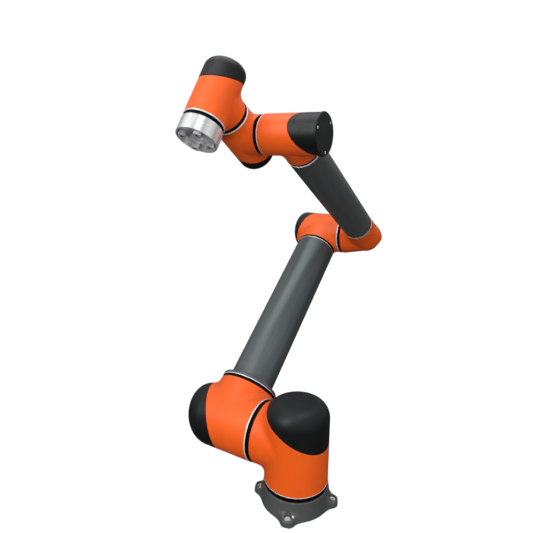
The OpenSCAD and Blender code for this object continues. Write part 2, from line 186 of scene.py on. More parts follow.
across = joint_axis("shoulder_lift")
shoulder = joint_place("shoulder_lift")
elbow_drive = joint_place("elbow_bend")
wrist_1 = joint_place("wrist_1_bend")
wrist_2 = joint_place("wrist_2_turn")
wrist_3 = joint_place("wrist_3_spin")
upper_arm = shoulder + across * across.dot(elbow_drive - shoulder)
elbow = elbow_drive + across * across.dot(wrist_1 - elbow_drive)
upper_way = (elbow_drive - upper_arm).normalized()
fore_way = (wrist_1 - elbow).normalized()

ON_BASE = Matrix.Identity(4)
AT_BASE = place_at(shoulder, -joint_axis("base_turn"), across)
AT_SHOULDER = place_at(upper_arm, -across, upper_way)
AT_ELBOW_DRIVE = place_at(elbow_drive, -across, -upper_way)
AT_ELBOW = place_at(elbow, across, fore_way)
AT_WRIST_1 = place_at(wrist_1, across, -fore_way)
AT_WRIST_2 = place_at(wrist_2, joint_axis("wrist_2_turn"), -across)
AT_WRIST_3 = place_at(wrist_3, joint_axis("wrist_3_spin"), -joint_axis("wrist_2_turn"))
ON_UPPER_ARM = place_at(upper_arm, upper_way, across)
ON_FOREARM = place_at(elbow, fore_way, across)

TRIM_NODES = {
    "shoulder": ["shoulder_trim_ring"],
    "upper_arm": ["upper_arm_trim_rings"],
    "elbow_drive": ["upper_arm_trim_rings"],
    "wrist_1": ["forearm_trim_rings"],
    "wrist_2": ["wrist_2_trim_ring"],
    "wrist_3": ["wrist_3_trim_ring"],
}
SEAL_NODES = {
    "shoulder": ["base_seal_ring"],
    "upper_arm": ["shoulder_seal_ring"],
    "elbow_drive": ["forearm_seal_rings"],
    "wrist_1": ["wrist_2_seal_ring"],
    "wrist_2": ["wrist_3_seal_ring"],
    "wrist_3": ["tool_seal_ring"],
}


# ---------------------------------------------------------------- smooth surfaces
def soft_union(a, b, blend):
    """Field of two bodies together, with a concave fillet of about 0.85 blend between them."""
    share = np.maximum(blend - np.abs(a - b), 0) / np.maximum(blend, 1e-9)
    return np.minimum(a, b) - share * share * blend / 4


def round_corner(a, b, radius):
    """Field of what lies in both bodies, with the edge between them rounded."""
    corner = np.hypot(np.maximum(a + radius, 0), np.maximum(b + radius, 0))
    return np.minimum(np.maximum(a, b), -radius) + corner


def gradient(field, points, delta=1e-5):
    """Slope of a field at each point, by central differences."""
    slopes = []
    for axis in np.eye(3) * delta:
        slopes.append((field(points + axis) - field(points - axis)) / (2 * delta))
    return np.stack(slopes, axis=1)


def settle(points, field, most):
    """Moves points on to the zero surface of a field."""
    for _ in range(4):
        slope = gradient(field, points)
        size = np.maximum((slope * slope).sum(axis=1), 0.05)
        move = np.clip(field(points) / size, -most, most)
        points = points - slope * move[:, None]
    return points


def surface_net(field, low, high, step):
    """Points and outward quads on the zero surface of a field inside a box."""
    axes = [np.arange(a, b + step, step) for a, b in zip(low, high)]
    grid = np.stack(np.meshgrid(*axes, indexing="ij"), axis=-1)
    inside = (field(grid.reshape(-1, 3)) < 0).reshape(grid.shape[:3])
    size = np.array(inside.shape)
    total = np.zeros(size - 1, int)
    for corner in itertools.product((0, 1), repeat=3):
        total += inside[tuple(slice(c, c + n - 1) for c, n in zip(corner, size))]
    active = (total > 0) & (total < 8)
    index = np.full(active.shape, -1)
    index[active] = np.arange(active.sum())
    points = np.array(low) + (np.argwhere(active) + 0.5) * step
    quads = []
    for axis in range(3):
        u = (axis + 1) % 3
        v = (axis + 2) % 3
        lower = np.take(inside, range(size[axis] - 1), axis)
        upper = np.take(inside, range(1, size[axis]), axis)
        edges = np.argwhere(lower != upper)
        fits = (edges[:, u] > 0) & (edges[:, u] < size[u] - 1)
        fits &= (edges[:, v] > 0) & (edges[:, v] < size[v] - 1)
        edges = edges[fits]
        cells = []
        for du, dv in ((1, 1), (0, 1), (0, 0), (1, 0)):
            cell = edges.copy()
            cell[:, u] -= du
            cell[:, v] -= dv
            cells.append(index[tuple(cell.T)])
        quad = np.stack(cells, axis=1)
        backwards = ~lower[tuple(edges.T)]
        quad[backwards] = quad[backwards][:, ::-1]
        quads.append(quad)
    quads = np.concatenate(quads)
    used = np.unique(quads)
    renumber = np.zeros(len(points), int)
    renumber[used] = np.arange(len(used))
    points = points[used]
    quads = renumber[quads]
    points = settle(points, field, step)
    for _ in range(4):
        points = settle(evened(points, quads), field, step)
    return points, quads


def evened(points, quads):
    """Each point moved half way to the middle of its neighbours."""
    total = np.zeros_like(points)
    count = np.zeros(len(points))
    for here, there in ((0, 1), (1, 2), (2, 3), (3, 0), (1, 0), (2, 1), (3, 2), (0, 3)):
        at = quads[:, here]
        count += np.bincount(at, minlength=len(points))
        for axis in range(3):
            total[:, axis] += np.bincount(at, points[quads[:, there], axis], len(points))
    return (points + total / np.maximum(count, 1)[:, None]) / 2


def cut_skin(points, quads, cuts):
    """The skin behind each cut, a pair of a point and a normal that faces the part cut off."""
    work = bmesh.new()
    corners = [work.verts.new(point) for point in points]
    for quad in quads.tolist():
        work.faces.new([corners[i] for i in quad])
    for point, normal in cuts:
        everything = work.verts[:] + work.edges[:] + work.faces[:]
        bmesh.ops.bisect_plane(
            work, geom=everything, dist=1e-5, plane_co=point, plane_no=normal, clear_outer=True
        )
    loose = [corner for corner in work.verts if not corner.link_faces]
    bmesh.ops.delete(work, geom=loose, context="VERTS")
    work.verts.index_update()
    skin = np.array([corner.co[:] for corner in work.verts])
    faces = [[corner.index for corner in face.verts] for face in work.faces]
    rim = []
    for edge in work.edges:
        if len(edge.link_faces) == 1:
            loop = edge.link_loops[0]
            rim.append((loop.vert.index, loop.link_loop_next.vert.index))
    work.free()
    return skin, faces, rim


def shell(field, low, high, step, cuts, wall, edge=EDGE):
    """A closed shell on a field's surface, cut by planes, with each cut edge rounded over."""
    inner_cuts = [(Vector(point) - Vector(normal) * edge, Vector(normal)) for point, normal in cuts]
    points, quads = surface_net(field, low, high, step)
    skin, faces, rim = cut_skin(points, quads, inner_cuts)
    outward = gradient(field, skin)
    outward /= np.linalg.norm(outward, axis=1)[:, None]
    count = len(skin)
    rim_points = sorted({start for start, _ in rim})
    place = {vertex: i for i, vertex in enumerate(rim_points)}
    at = skin[rim_points]
    normal = outward[rim_points]
    away = np.array([np.abs((at - np.array(point)) @ np.array(facing)) for point, facing in inner_cuts])
    facing = np.array([plane[1][:] for plane in inner_cuts])[away.argmin(axis=0)]
    lean = (facing * normal).sum(axis=1)[:, None]
    along = facing - lean * normal
    along /= np.linalg.norm(along, axis=1)[:, None]
    inwards = lean * facing - normal
    inwards /= np.linalg.norm(inwards, axis=1)[:, None]
    bend = at + along * edge / np.maximum((along * facing).sum(axis=1)[:, None], 0.3)
    end = bend + inwards * edge
    rows = [np.array(rim_points)]
    layers = [skin]
    total = count
    for share in (0.2, 0.45, 0.7, 1.0):
        layers.append((1 - share) ** 2 * at + 2 * share * (1 - share) * bend + share * share * end)
        rows.append(total + np.arange(len(at)))
        total += len(at)
    layers.append(skin - outward * wall)
    rows.append(total + np.array(rim_points))
    faces = faces + [[total + i for i in reversed(face)] for face in faces]
    for start, stop in rim:
        first = place[start]
        second = place[stop]
        for near, far in itertools.pairwise(rows):
            faces.append([int(near[second]), int(near[first]), int(far[first]), int(far[second])])
    return np.concatenate(layers), faces


# ---------------------------------------------------------------- turned shapes
def softened(corners, steps=5):
    """A closed outline of (radius, height, rounding) corners, with its corners rounded."""
    points = []
    for i, (r, z, rounding) in enumerate(corners):
        here = Vector((r, z))
        before = Vector(corners[i - 1][:2]) - here
        after = Vector(corners[(i + 1) % len(corners)][:2]) - here
        if rounding <= 0:
            points.append(here)
            continue
        half = before.angle(after) / 2
        reach = min(rounding / math.tan(half), 0.49 * before.length, 0.49 * after.length)
        start = here + before.normalized() * reach
        stop = here + after.normalized() * reach
        for k in range(steps + 1):
            share = k / steps
            points.append(start * (1 - share) ** 2 + here * 2 * share * (1 - share) + stop * share ** 2)
    return points


def lathe(corners, steps=LATHE_STEPS, rounding_steps=5):
    """A closed solid turned from an outline; corners run anticlockwise seen with radius to the right."""
    outline = softened(corners, rounding_steps)
    points = []
    index = []
    for k in range(steps):
        turn = 2 * math.pi * k / steps
        row = []
        for i, p in enumerate(outline):
            if p.x < ON_AXIS and k > 0:
                row.append(index[0][i])
                continue
            row.append(len(points))
            points.append((p.x * math.cos(turn), p.x * math.sin(turn), p.y))
        index.append(row)
    faces = []
    for k in range(steps):
        near = index[k]
        far = index[(k + 1) % steps]
        for i in range(len(outline)):
            j = (i + 1) % len(outline)
            face = list(dict.fromkeys([near[i], far[i], far[j], near[j]]))
            if len(face) > 2:
                faces.append(face)
    return np.array(points), faces


def prism(outline, low, high, chamfer=0.0):
    """An upright solid on an anticlockwise outline, with a chamfer round its top."""
    middle = sum(outline, Vector((0, 0))) / len(outline)
    layers = [(low, 0), (high - chamfer, 0)]
    if chamfer:
        layers.append((high, chamfer))
    points = []
    for height, inset in layers:
        for point in outline:
            way = point - middle
            reach = way.length - inset * math.sqrt(2)
            points.append((*(middle + way.normalized() * reach), height))
    count = len(outline)
    faces = [list(reversed(range(count)))]
    for layer in range(len(layers) - 1):
        for i in range(count):
            j = (i + 1) % count
            near = layer * count
            faces.append([near + i, near + j, near + count + j, near + count + i])
    faces.append([(len(layers) - 1) * count + i for i in range(count)])
    return np.array(points), faces


def polygon(radius, sides, turn=0.0):
    angles = [2 * math.pi * k / sides + turn for k in range(sides)]
    return [Vector((radius * math.cos(angle), radius * math.sin(angle))) for angle in angles]


def rounded_box(low, high, corner, steps=6):
    """Anticlockwise outline of a rectangle with round corners."""
    outline = []
    middle = Vector(((low[0] + high[0]) / 2, (low[1] + high[1]) / 2))
    half = Vector(((high[0] - low[0]) / 2 - corner, (high[1] - low[1]) / 2 - corner))
    for quarter, (side_x, side_y) in enumerate(((1, 1), (-1, 1), (-1, -1), (1, -1))):
        centre = middle + Vector((side_x * half.x, side_y * half.y))
        for k in range(steps + 1):
            angle = math.pi / 2 * (quarter + k / steps)
            outline.append(centre + Vector((math.cos(angle), math.sin(angle))) * corner)
    return outline


def moved(shape, matrix):
    points, faces = shape
    matrix = np.array(matrix)
    return points @ matrix[:3, :3].T + matrix[:3, 3], faces


def turned_about(shape, degrees, reach=0.0):
    """The shape moved out along X by reach and then turned about Z."""
    return moved(shape, Matrix.Rotation(math.radians(degrees), 4, "Z") @ Matrix.Translation((reach, 0, 0)))


def quarter_turns(first):
    """Four angles in degrees, a quarter turn apart."""
    return [first + 90 * k for k in range(4)]


def together(*shapes):
    """Several closed shapes as one."""
    points = []
    faces = []
    start = 0
    for shape_points, shape_faces in shapes:
        points.append(shape_points)
        faces += [[start + i for i in face] for face in shape_faces]
        start += len(shape_points)
    return np.concatenate(points), faces


def loose_object(name, shape):
    """A linked mesh object made from points and faces."""
    points, faces = shape
    mesh = bpy.data.meshes.new(name)
    mesh.from_pydata(np.asarray(points).tolist(), [], faces)
    mesh.validate()
    made = bpy.data.objects.new(name, mesh)
    bpy.context.scene.collection.objects.link(made)
    return made


def carved(shape, added=(), removed=()):
    """The shape with closed shapes joined to it and then others cut out of it."""
    body = loose_object("body", shape)
    tools = []
    for operation, shapes in (("UNION", added), ("DIFFERENCE", removed)):
        for tool_shape in shapes:
            tool = loose_object("tool", tool_shape)
            step = body.modifiers.new("Carve", "BOOLEAN")
            step.operation = operation
            step.solver = "EXACT"
            step.object = tool
            tools.append(tool)
    solid = body.evaluated_get(bpy.context.evaluated_depsgraph_get())
    mesh = solid.to_mesh()
    points = np.array([corner.co[:] for corner in mesh.vertices])
    faces = [list(face.vertices) for face in mesh.polygons]
    solid.to_mesh_clear()
    for used in [body, *tools]:
        mesh = used.data
        bpy.data.objects.remove(used)
        bpy.data.meshes.remove(mesh)
    return points, faces


# ---------------------------------------------------------------- pieces
def piece(name, shape, place, body, slot, nodes=(), sharp=35):
    """A piece drawn in its module's frame; it rides on a CAD body and stands for CAD nodes."""
    made = loose_object(name, moved(shape, place))
    mesh = made.data
    own = mesh.attributes.new("own_point", "FLOAT_VECTOR", "POINT")
    own.data.foreach_set("vector", np.asarray(shape[0]).ravel())
    mesh.polygons.foreach_set("use_smooth", [True] * len(mesh.polygons))
    mesh.set_sharp_from_angle(angle=math.radians(sharp))
    mesh.materials.append(MATERIALS[slot])
    weighted = made.modifiers.new("Normals", "WEIGHTED_NORMAL")
    weighted.keep_sharp = True
    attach(made, body)
    if nodes:
        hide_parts(*nodes)
    return made


# ---------------------------------------------------------------- materials
def new_material(name):
    made = bpy.data.materials.new(name)
    made.use_nodes = True
    return made, made.node_tree, made.node_tree.nodes["Principled BSDF"]


def object_point(tree):
    return tree.nodes.new("ShaderNodeTexCoord").outputs["Object"]


def own_point(tree, stretch):
    """The point in the frame that the piece was drawn in, stretched along its axes."""
    stored = tree.nodes.new("ShaderNodeAttribute")
    stored.attribute_name = "own_point"
    mapping = tree.nodes.new("ShaderNodeMapping")
    mapping.inputs["Scale"].default_value = stretch
    tree.links.new(stored.outputs["Vector"], mapping.inputs["Vector"])
    return mapping.outputs["Vector"]


def noise(tree, scale, detail=2, stretch=None):
    """Noise in the object's frame, or stretched in the frame that the piece was drawn in."""
    texture = tree.nodes.new("ShaderNodeTexNoise")
    texture.inputs["Scale"].default_value = scale
    texture.inputs["Detail"].default_value = detail
    point = own_point(tree, stretch) if stretch else object_point(tree)
    tree.links.new(point, texture.inputs["Vector"])
    return texture.outputs["Fac"]


def spread(tree, value, low, high, start=0.3, stop=0.7):
    """The value, stretched so that start to stop become low to high."""
    mapped = tree.nodes.new("ShaderNodeMapRange")
    for socket, number in (("From Min", start), ("From Max", stop), ("To Min", low), ("To Max", high)):
        mapped.inputs[socket].default_value = number
    tree.links.new(value, mapped.inputs["Value"])
    return mapped.outputs["Result"]


def ramp(tree, value, *stops):
    """Colour from a value, through (position, colour) stops."""
    made = tree.nodes.new("ShaderNodeValToRGB")
    elements = made.color_ramp.elements
    while len(elements) < len(stops):
        elements.new(0.5)
    for element, (position, colour) in zip(elements, stops):
        element.position = position
        element.color = (*colour, 1)
    tree.links.new(value, made.inputs["Fac"])
    return made.outputs["Color"]


def combined(tree, first, second, operation="ADD"):
    """Arithmetic on two values, each a number or a socket."""
    made = tree.nodes.new("ShaderNodeMath")
    made.operation = operation
    for socket, value in zip(made.inputs, (first, second)):
        if isinstance(value, (int, float)):
            socket.default_value = value
        else:
            tree.links.new(value, socket)
    return made.outputs["Value"]


def bumps(tree, shader, height, strength, depth):
    bump = tree.nodes.new("ShaderNodeBump")
    bump.inputs["Strength"].default_value = strength
    bump.inputs["Distance"].default_value = depth
    tree.links.new(height, bump.inputs["Height"])
    tree.links.new(bump.outputs["Normal"], shader.inputs["Normal"])


def painted(name, dark, light, roughness, grain, depth, gloss=0.5):
    """Powder coat: faint tone changes, a fine orange peel and uneven gloss."""
    made, tree, shader = new_material(name)
    broad = noise(tree, 9, 3)
    fine = noise(tree, grain, 2)
    tone = combined(tree, combined(tree, broad, 0.75, "MULTIPLY"), combined(tree, fine, 0.25, "MULTIPLY"))
    tree.links.new(ramp(tree, tone, (0.32, dark), (0.68, light)), shader.inputs["Base Color"])
    tree.links.new(
        spread(tree, noise(tree, 45, 3), roughness - 0.05, roughness + 0.05), shader.inputs["Roughness"]
    )
    shader.inputs["Specular IOR Level"].default_value = gloss
    bumps(tree, shader, fine, 0.25, depth)
    return made


def moulded(name, dark, light, roughness, grain, gloss=0.4):
    """Satin moulded plastic with a fine spark-eroded grain."""
    made, tree, shader = new_material(name)
    fine = noise(tree, grain, 3)
    tree.links.new(ramp(tree, noise(tree, 14, 4), (0.3, dark), (0.7, light)), shader.inputs["Base Color"])
    tree.links.new(
        spread(tree, noise(tree, 60, 4), roughness - 0.06, roughness + 0.06), shader.inputs["Roughness"]
    )
    shader.inputs["Specular IOR Level"].default_value = gloss
    bumps(tree, shader, fine, 0.3, 0.08 * MM)
    return made


def turned(name, dark, light, roughness, metallic, reflection_streak_scale=160):
    """Metal turned on a lathe: fine rings round the axis, with painted reflection stripes along it in the base
    colour.
    """
    made, tree, shader = new_material(name)
    rings = noise(tree, 1500, 2, (0.02, 0.02, 1))
    # painted reflection: stripes along the axis in the base colour stand in for the lengthwise highlights of
    # turned metal
    reflection_streaks = noise(tree, reflection_streak_scale, 2, (1, 1, 0.03))
    tone = combined(
        tree, combined(tree, rings, 0.25, "MULTIPLY"), combined(tree, reflection_streaks, 0.75, "MULTIPLY")
    )
    tree.links.new(ramp(tree, tone, (0.35, dark), (0.65, light)), shader.inputs["Base Color"])
    tree.links.new(spread(tree, rings, roughness - 0.05, roughness + 0.07), shader.inputs["Roughness"])
    shader.inputs["Metallic"].default_value = metallic
    bumps(tree, shader, rings, 0.15, 0.03 * MM)
    return made


def machined(name, dark, light, roughness):
    """Ground steel of an inner part: fine cloudy tone and uneven gloss."""
    made, tree, shader = new_material(name)
    tone = noise(tree, 220, 4)
    tree.links.new(ramp(tree, tone, (0.35, dark), (0.65, light)), shader.inputs["Base Color"])
    tree.links.new(
        spread(tree, noise(tree, 700, 3), roughness - 0.06, roughness + 0.08), shader.inputs["Roughness"]
    )
    shader.inputs["Metallic"].default_value = 1
    return made


def drawn(name, dark, light, roughness, metallic):
    """Anodised tube drawn lengthwise: fine lines along its axis, painted reflection stripes along it and painted
    shade that darkens it towards its far end.
    """
    made, tree, shader = new_material(name)
    lines = noise(tree, 420, 3, (1, 1, 0.01))
    # painted reflection: broad stripes along the axis in the base colour stand in for the tube's lengthwise
    # highlights
    broad = noise(tree, 30, 2, (1, 1, 0.1))
    tone = combined(tree, combined(tree, broad, 0.7, "MULTIPLY"), combined(tree, lines, 0.3, "MULTIPLY"))
    # painted shade: the tone darkens along the tube's axis towards its far end, a fall-off of light painted into
    # the colour
    parts = tree.nodes.new("ShaderNodeSeparateXYZ")
    tree.links.new(own_point(tree, (1, 1, 1)), parts.inputs["Vector"])
    tone = combined(tree, tone, spread(tree, parts.outputs["Z"], 0.1, -0.16, start=0.1, stop=0.5))
    tree.links.new(ramp(tree, tone, (0.32, dark), (0.68, light)), shader.inputs["Base Color"])
    tree.links.new(spread(tree, lines, roughness - 0.05, roughness + 0.05), shader.inputs["Roughness"])
    shader.inputs["Metallic"].default_value = metallic
    bumps(tree, shader, lines, 0.2, 0.03 * MM)
    return made


def windings(name):
    """Varnished copper wire in close turns."""
    made, tree, shader = new_material(name)
    wave = tree.nodes.new("ShaderNodeTexWave")
    wave.inputs["Scale"].default_value = 320
    wave.inputs["Distortion"].default_value = 1.5
    tree.links.new(object_point(tree), wave.inputs["Vector"])
    tree.links.new(
        ramp(tree, wave.outputs["Fac"], (0.2, (0.16, 0.05, 0.015)), (0.8, (0.62, 0.25, 0.09))),
        shader.inputs["Base Color"],
    )
    shader.inputs["Metallic"].default_value = 0.8
    shader.inputs["Roughness"].default_value = 0.35
    bumps(tree, shader, wave.outputs["Fac"], 0.6, 0.3 * MM)
    return made


def circuit(name):
    """Green board with a pattern of small pads."""
    made, tree, shader = new_material(name)
    pads = tree.nodes.new("ShaderNodeTexVoronoi")
    pads.inputs["Scale"].default_value = 260
    tree.links.new(object_point(tree), pads.inputs["Vector"])
    tree.links.new(
        ramp(tree, pads.outputs["Distance"], (0.12, (0.55, 0.50, 0.28)), (0.2, (0.01, 0.12, 0.04))),
        shader.inputs["Base Color"],
    )
    shader.inputs["Roughness"].default_value = 0.4
    return made


MATERIALS = {
    "painted_casting": painted(
        "painted_casting", (0.70, 0.088, 0.008), (0.78, 0.110, 0.013), 0.38, 650, 0.08 * MM, gloss=0.3
    ),
    "cast_base": painted("cast_base", (0.050, 0.053, 0.052), (0.070, 0.074, 0.072), 0.5, 420, 0.25 * MM),
    "black_cover": moulded(
        "black_cover", (0.0040, 0.0048, 0.0050), (0.0068, 0.0078, 0.0080), 0.42, 1400, gloss=0.32
    ),
    "seal_rubber": moulded(
        "seal_rubber", (0.0010, 0.0010, 0.0010), (0.002, 0.002, 0.002), 0.60, 900, gloss=0.08
    ),
    "upper_arm_tube": drawn("upper_arm_tube", (0.048, 0.060, 0.062), (0.100, 0.116, 0.120), 0.38, 0.35),
    "forearm_tube": drawn("forearm_tube", (0.064, 0.071, 0.070), (0.088, 0.095, 0.094), 0.43, 0.25),
    "trim_aluminium": turned("trim_aluminium", (0.78, 0.78, 0.80), (0.92, 0.92, 0.94), 0.30, 0.35),
    "tool_aluminium": turned(
        "tool_aluminium", (0.36, 0.36, 0.37), (0.84, 0.84, 0.85), 0.33, 0.45, reflection_streak_scale=75
    ),
    "fastener_steel": turned("fastener_steel", (0.62, 0.63, 0.65), (0.86, 0.87, 0.89), 0.28, 0.35),
    "drive_steel": machined("drive_steel", (0.35, 0.36, 0.38), (0.60, 0.61, 0.63), 0.32),
    "motor_windings": windings("motor_windings"),
    "circuit_board": circuit("circuit_board"),
}


# ---------------------------------------------------------------- drive modules
def module_field(radius, rear, edge, tilt, port_radius, blend):
    """Round body with a domed rear end and a side port along +X, filleted where they meet."""

    def field(points):
        x, y, z = points.T
        around = np.hypot(x, y)
        behind = (tilt * x - z - rear) / math.hypot(1, tilt)
        barrel = round_corner(around - radius, behind, edge)
        beside = np.hypot(y, z)
        port = np.maximum(beside - port_radius, -x)
        share = 1 - np.clip(y * y / np.maximum(around * beside, 1e-9), 0, 1)
        return soft_union(barrel, port, blend * share + 1e-6)

    return field


def seam_cut(height, slope, gap):
    """A point and normal of the slanted seam, moved by gap away from the housing."""
    facing = Vector((-slope, 0, -1)).normalized()
    return Vector((0, 0, -height)) + facing * gap, facing


def drive_module(name, place, body, housing, cap, seam, edge, tilt, blend, step, proud=0, plate=0):
    """Casting and rear cover of a drive module, sized by their CAD nodes."""
    high = local_box(housing, place)[1]
    radius = high.y
    rear = -local_box(cap, place)[0].z
    end_cuts = [(Vector((0, 0, plate - rear)), Vector((0, 0, -1)))] if plate else []
    body_rear = rear + 2 * edge if plate else rear
    field = module_field(radius, body_rear, edge, tilt, radius - PORT_INSET, blend)
    margin = MARGIN_STEPS * step
    room_low = Vector((-radius - margin, -radius - margin, -body_rear - 0.2 * radius))
    room_high = Vector((high.x + margin, radius + margin, high.z + margin))
    cuts = [
        seam_cut(*seam, 0),
        (Vector((0, 0, high.z)), Vector((0, 0, 1))),
        (Vector((high.x, 0, 0)), Vector((1, 0, 0))),
    ]
    casting = shell(field, room_low, room_high, step, cuts + end_cuts, WALL)
    piece(name + "_casting", casting, place, body, "painted_casting", [housing])
    point, facing = seam_cut(*seam, SEAM_GAP)
    field = module_field(radius + proud, body_rear, edge, tilt, radius - PORT_INSET, blend)
    room_high.x = radius + margin
    room_high.z = seam[1] * radius - seam[0] + margin
    cover = shell(field, room_low, room_high, step, [(point, -facing)] + end_cuts, COVER_WALL)
    piece(name + "_cover", cover, place, body, "black_cover", [cap])


drive_module(
    "shoulder", AT_BASE, "shoulder", "shoulder_housing", "shoulder_cap",
    seam=(46 * MM, 0.58), edge=36 * MM, tilt=0.04, blend=18 * MM, step=BIG_STEP,
)
drive_module(
    "upper_arm", AT_SHOULDER, "upper_arm", "upper_arm_housing", "upper_arm_cap",
    seam=(42 * MM, 0.48), edge=50 * MM, tilt=-0.16, blend=18 * MM, step=BIG_STEP,
)
drive_module(
    "elbow_drive", AT_ELBOW_DRIVE, "upper_arm", "elbow_drive_housing", "elbow_drive_cap",
    seam=(41 * MM, 0.40), edge=24 * MM, tilt=0, blend=16 * MM, step=ELBOW_STEP,
)
drive_module(
    "wrist_1", AT_WRIST_1, "forearm", "wrist_1_housing", "wrist_1_cap",
    seam=(42 * MM, 0.93), edge=3 * MM, tilt=0, blend=18 * MM, step=WRIST_STEP, plate=END_PLATE_H,
)
drive_module(
    "wrist_2", AT_WRIST_2, "wrist_2", "wrist_2_housing", "wrist_2_cap",
    seam=(38 * MM, 0.45), edge=22 * MM, tilt=0, blend=18 * MM, step=WRIST_STEP,
)
drive_module(
    "wrist_3", AT_WRIST_3, "wrist_3", "wrist_3_housing", "wrist_3_cap",
    seam=(34 * MM, 0.47), edge=18 * MM, tilt=-0.11, blend=20 * MM, step=WRIST_STEP, proud=0.4 * MM,
)


# ---------------------------------------------------------------- elbow casting
def elbow_field(face, face_radius, ball_radius, neck_radius, tube_radius, neck_length, blend):
    """Ball-ended body that opens along +Z, with a conical neck along +X."""

    def field(points):
        x, y, z = points.T
        around = np.hypot(x, y)
        taper = ball_radius + np.clip(z / face, 0, 1.2) * (face_radius - ball_radius)
        body = np.where(z > 0, around - taper, np.hypot(around, z) - ball_radius)
        beside = np.hypot(y, z)
        taper = neck_radius + np.clip(x / neck_length, 0, 1.2) * (tube_radius - neck_radius)
        neck = np.maximum(beside - taper, -x)
        share = 1 - np.clip(y * y / np.maximum(around * beside, 1e-9), 0, 1)
        return soft_union(body, neck, blend * share + 1e-6)

    return field


def add_elbow():
    low, high = local_box("elbow_housing", AT_ELBOW)
    tube_radius = local_box("forearm_tube", ON_FOREARM)[1].y
    field = elbow_field(
        high.z, high.y, -low.z, tube_radius + ELBOW_NECK, tube_radius + 0.5 * MM, high.x, 20 * MM
    )
    step = ELBOW_STEP
    margin = Vector((1, 1, 1)) * MARGIN_STEPS * step
    cuts = [
        (Vector((0, 0, high.z)), Vector((0, 0, 1))),
        (Vector((high.x, 0, 0)), Vector((1, 0, 0))),
    ]
    casting = shell(field, low - margin, high + margin, step, cuts, WALL)
    piece("elbow_casting", casting, AT_ELBOW, "forearm", "painted_casting", ["elbow_housing"])


add_elbow()


# ---------------------------------------------------------------- rings between the links
def trim_ring(radius, inner, low, high):
    """Thin bright band with a rounded outer edge, on the low side of its seat."""
    band = low + TRIM_SHARE * (high - low)
    return lathe([
        (inner, low, 0),
        (radius, low, 0.3 * MM),
        (radius, band, 0.6 * MM),
        (radius - SEAL_INSET, band, 0.2 * MM),
        (radius - SEAL_INSET, high, 0.3 * MM),
        (inner, high, 0),
    ])


def lip_seal(radius, inner, low, high):
    """Rubber ring with rounded edges and a shallow groove round its middle."""
    middle = (low + high) / 2
    groove = 0.6 * MM
    return lathe([
        (inner, low, 0),
        (radius, low, 0.8 * MM),
        (radius, middle - groove, 0.3 * MM),
        (radius - groove, middle, 0),
        (radius, middle + groove, 0.3 * MM),
        (radius, high, 0.8 * MM),
        (inner, high, 0),
    ])


OUTPUTS = (
    ("shoulder", AT_BASE, "shoulder_housing", BIG_RING_H, "shoulder", "base"),
    ("upper_arm", AT_SHOULDER, "upper_arm_housing", BIG_RING_H, "upper_arm", "shoulder"),
    ("elbow_drive", AT_ELBOW_DRIVE, "elbow_drive_housing", ELBOW_RING_H, "upper_arm", "forearm"),
    ("wrist_1", AT_WRIST_1, "wrist_1_housing", WRIST_RING_H, "forearm", "wrist_2"),
    ("wrist_2", AT_WRIST_2, "wrist_2_housing", WRIST_RING_H, "wrist_2", "wrist_3"),
    ("wrist_3", AT_WRIST_3, "wrist_3_housing", WRIST_RING_H, "wrist_3", "tool"),
)
for name, place, housing, seal_h, trim_body, seal_body in OUTPUTS:
    top = local_box(housing, place)[1]
    inner = LIP_SHARE * top.y
    out = top.z + TRIM_H
    trim_nodes = TRIM_NODES[name]
    seal_nodes = SEAL_NODES[name]
    trim = trim_ring(top.y + TRIM_PROUD, inner, top.z, out)
    piece(name + "_trim", trim, place, trim_body, "trim_aluminium", trim_nodes)
    seal = lip_seal(top.y - SEAL_INSET, inner, out + RUNNING_GAP, out + seal_h)
    piece(name + "_seal", seal, place, seal_body, "seal_rubber", seal_nodes)


# ---------------------------------------------------------------- arm tubes
def tube(radius, wall, low, high):
    """An open tube with its outer edges and one inner edge softened."""
    return lathe([
        (radius - wall, low, 0.5 * MM),
        (radius, low, 0.5 * MM),
        (radius, high, 0.5 * MM),
        (radius - wall, high, 0),
    ])


def add_tube(name, place, body, node, slot, near_face, far_face, near_radius, seal_nodes, trim_nodes):
    """A tube between two port faces, with a black and a bright ring at each end."""
    low, high = local_box(node, place)
    radius = high.y
    inner = radius - TUBE_WALL
    piece(name, tube(radius, TUBE_WALL, low.z, high.z), place, body, slot, [node])
    near_seal = lip_seal(near_radius - SEAL_INSET, inner, near_face, low.z - TRIM_H)
    far_seal = lip_seal(radius - SEAL_INSET, inner, high.z + TRIM_H, far_face)
    near_trim = trim_ring(near_radius + TRIM_PROUD, inner, low.z - TRIM_H, low.z)
    far_trim = trim_ring(radius + TRIM_PROUD, inner, high.z, high.z + TRIM_H)
    piece(name + "_seals", together(near_seal, far_seal), place, body, "seal_rubber", seal_nodes)
    piece(name + "_trims", together(near_trim, far_trim), place, body, "trim_aluminium", trim_nodes)


upper_port = local_box("upper_arm_housing", AT_SHOULDER)[1]
drive_port = local_box("elbow_drive_housing", AT_ELBOW_DRIVE)[1]
add_tube(
    "upper_arm_tube_skin", ON_UPPER_ARM, "upper_arm", "upper_arm_tube", "upper_arm_tube",
    near_face=upper_port.x, far_face=(elbow_drive - upper_arm).length - drive_port.x,
    near_radius=upper_port.y - PORT_INSET,
    seal_nodes=["upper_arm_seal_rings"], trim_nodes=["upper_arm_trim_rings"],
)
elbow_port = local_box("elbow_housing", AT_ELBOW)[1]
wrist_port = local_box("wrist_1_housing", AT_WRIST_1)[1]
forearm_radius = local_box("forearm_tube", ON_FOREARM)[1].y
add_tube(
    "forearm_tube_skin", ON_FOREARM, "forearm", "forearm_tube", "forearm_tube",
    near_face=elbow_port.x, far_face=(wrist_1 - elbow).length - wrist_port.x,
    near_radius=forearm_radius,
    seal_nodes=["forearm_seal_rings"], trim_nodes=["forearm_trim_rings"],
)


